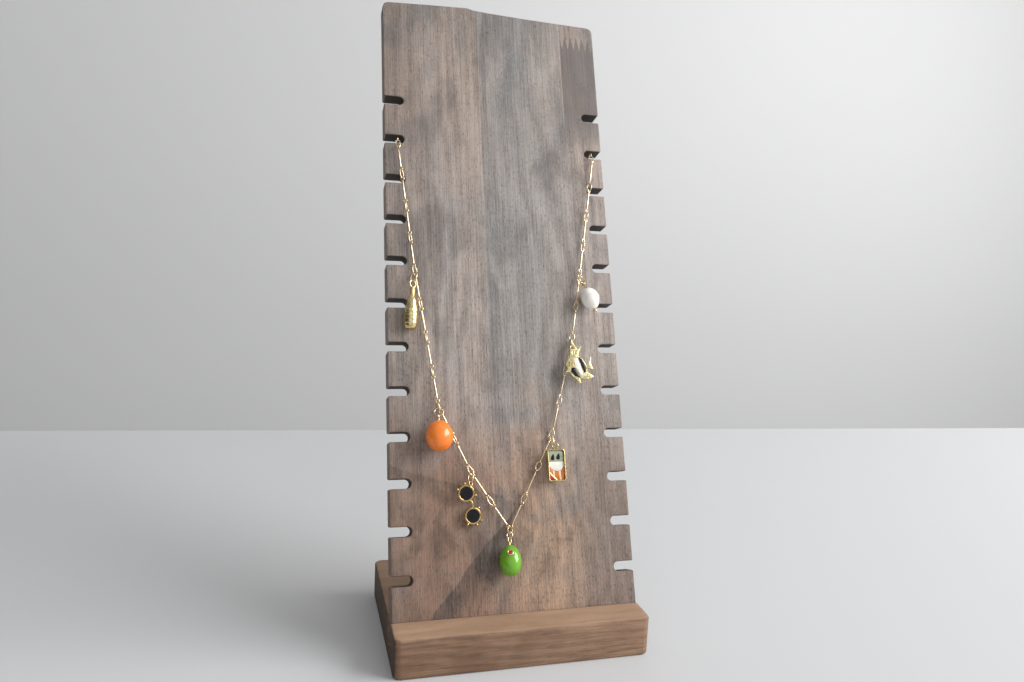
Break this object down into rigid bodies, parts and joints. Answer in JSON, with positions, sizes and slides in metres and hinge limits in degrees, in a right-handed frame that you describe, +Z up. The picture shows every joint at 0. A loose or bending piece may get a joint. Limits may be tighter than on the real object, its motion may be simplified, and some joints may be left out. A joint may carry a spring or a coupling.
{
  "type": "charm necklace with display stand",
  "caption": "Gold bar-link charm necklace draped over a slanted, notched wooden display board that stands in a block base.",
  "frame": {"origin": "centre of the flat underside of the base block", "axes": "+Z up, +X to the right across the board as seen from the front, +Y from the front to the back"},
  "size_m": [0.101, 0.1132, 0.2655],
  "materials": {
    "board_wood": "weathered grey-brown stain, matt, with visible grain",
    "base_wood": "warm brown stain, matt, with visible grain",
    "gold": "polished gold plate",
    "orange_enamel": "glossy orange enamel",
    "green_enamel": "glossy olive-green enamel",
    "black_enamel": "glossy black enamel",
    "white_enamel": "glossy white enamel",
    "silver_enamel": "silvery green translucent enamel",
    "amber_enamel": "amber enamel over metal",
    "yellow_enamel": "glossy yellow enamel",
    "red_enamel": "glossy red enamel",
    "pearl": "white pearl with a soft sheen"
  },
  "bodies": {
    "root": {"display_base": "base_wood", "display_board": "board_wood", "chain_left": "gold", "chain_right": "gold", "clasp": "gold", "bottle_jump_ring": "gold", "bottle": "gold", "orange_jump_ring": "gold", "orange": "orange_enamel", "orange_pin": "gold", "sunglasses_jump_ring": "gold", "sunglasses_frame": "gold", "sunglasses_lens_upper": "black_enamel", "sunglasses_lens_lower": "black_enamel", "olive_jump_ring": "gold", "olive": "green_enamel", "olive_pin": "gold", "olive_rim": "gold", "olive_stuffing": "red_enamel", "tin_jump_ring": "gold", "tin": "gold", "tin_top_field": "silver_enamel", "tin_band": "white_enamel", "tin_low_field": "amber_enamel", "tin_red_corner": "red_enamel", "fish_jump_ring": "gold", "fish": "gold", "fish_black_chin": "black_enamel", "fish_white_band": "white_enamel", "fish_black_back": "black_enamel", "fish_spot": "yellow_enamel", "pearl_jump_ring": "gold", "pearl": "pearl", "pearl_pin": "gold"}
  },
  "joints": []
}
